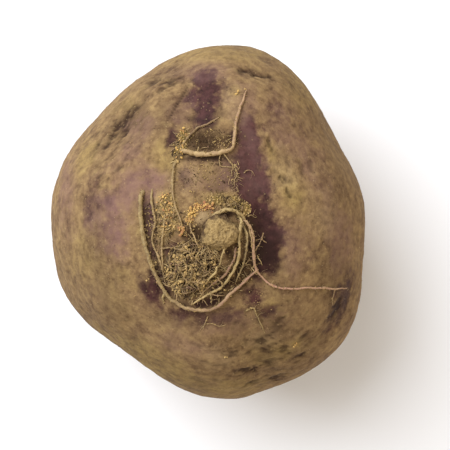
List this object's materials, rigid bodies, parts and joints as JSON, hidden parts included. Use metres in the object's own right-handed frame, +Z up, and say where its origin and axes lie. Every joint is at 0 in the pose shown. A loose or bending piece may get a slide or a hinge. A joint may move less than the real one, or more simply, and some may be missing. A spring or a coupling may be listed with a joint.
{
  "type": "beetroot",
  "caption": "Large unwashed beetroot with leaves cut off, standing on its trimmed crown with the root end up, side roots curled round the snapped taproot and dried soil among them.",
  "frame": {"origin": "middle of the crown's flat cut, where the cut leaf stalks meet the surface that the beetroot stands on", "axes": "+Z up, from the crown to the root end; the reference view looks straight down with +X to its right and +Y to its top, and +Y is the beetroot's longest way"},
  "size_m": [0.1087, 0.1224, 0.1058],
  "materials": {
    "skin": "purple skin under a thin film of dried olive-brown soil, matt",
    "soil": "dried crumbly garden soil, matt"
  },
  "bodies": {
    "root": {"beetroot": "skin", "dried_soil": "soil"}
  },
  "joints": []
}
